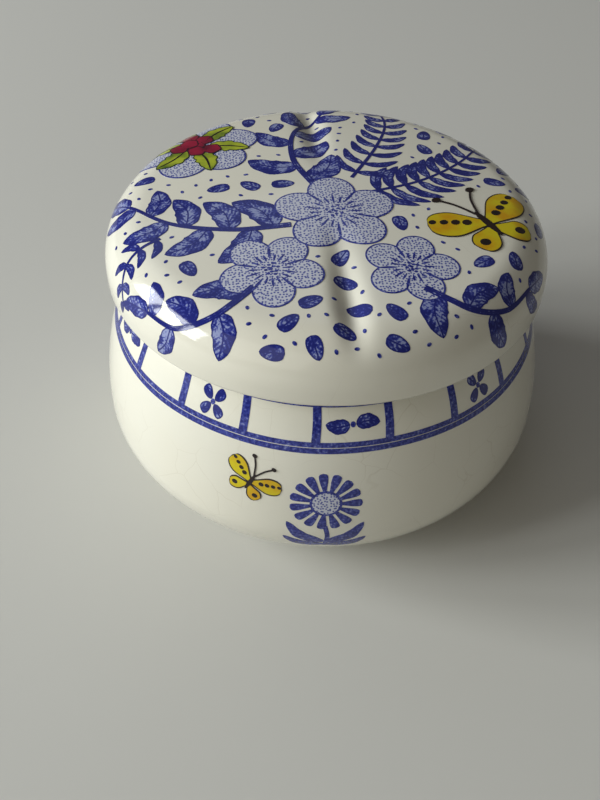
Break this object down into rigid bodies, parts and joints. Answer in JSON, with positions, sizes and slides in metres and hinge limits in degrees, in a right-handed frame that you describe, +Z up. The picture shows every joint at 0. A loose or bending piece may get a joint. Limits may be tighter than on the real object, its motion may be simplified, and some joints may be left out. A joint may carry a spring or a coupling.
{
  "type": "butter dish",
  "caption": "Round bellied dish with a domed lift-off lid that has two pinched finger grips, for keeping butter at table.",
  "frame": {"origin": "centre of the foot ring, on the surface the dish stands on", "axes": "+Z up along the axis of turning, Y along the line through the two finger pinches of the lid, X across them"},
  "size_m": [0.1388, 0.1388, 0.0943],
  "materials": {
    "dish_glaze": "clear gloss glaze over ivory earthenware",
    "lid_glaze": "clear gloss glaze over ivory earthenware"
  },
  "bodies": {
    "dish": {"dish": "dish_glaze"},
    "lid": {"lid": "lid_glaze"}
  },
  "joints": [
    {"name": "lid_lift", "type": "slide", "parent": "dish", "child": "lid", "axis": [0, 0, 1], "range_m": [0, 0.08]}
  ]
}
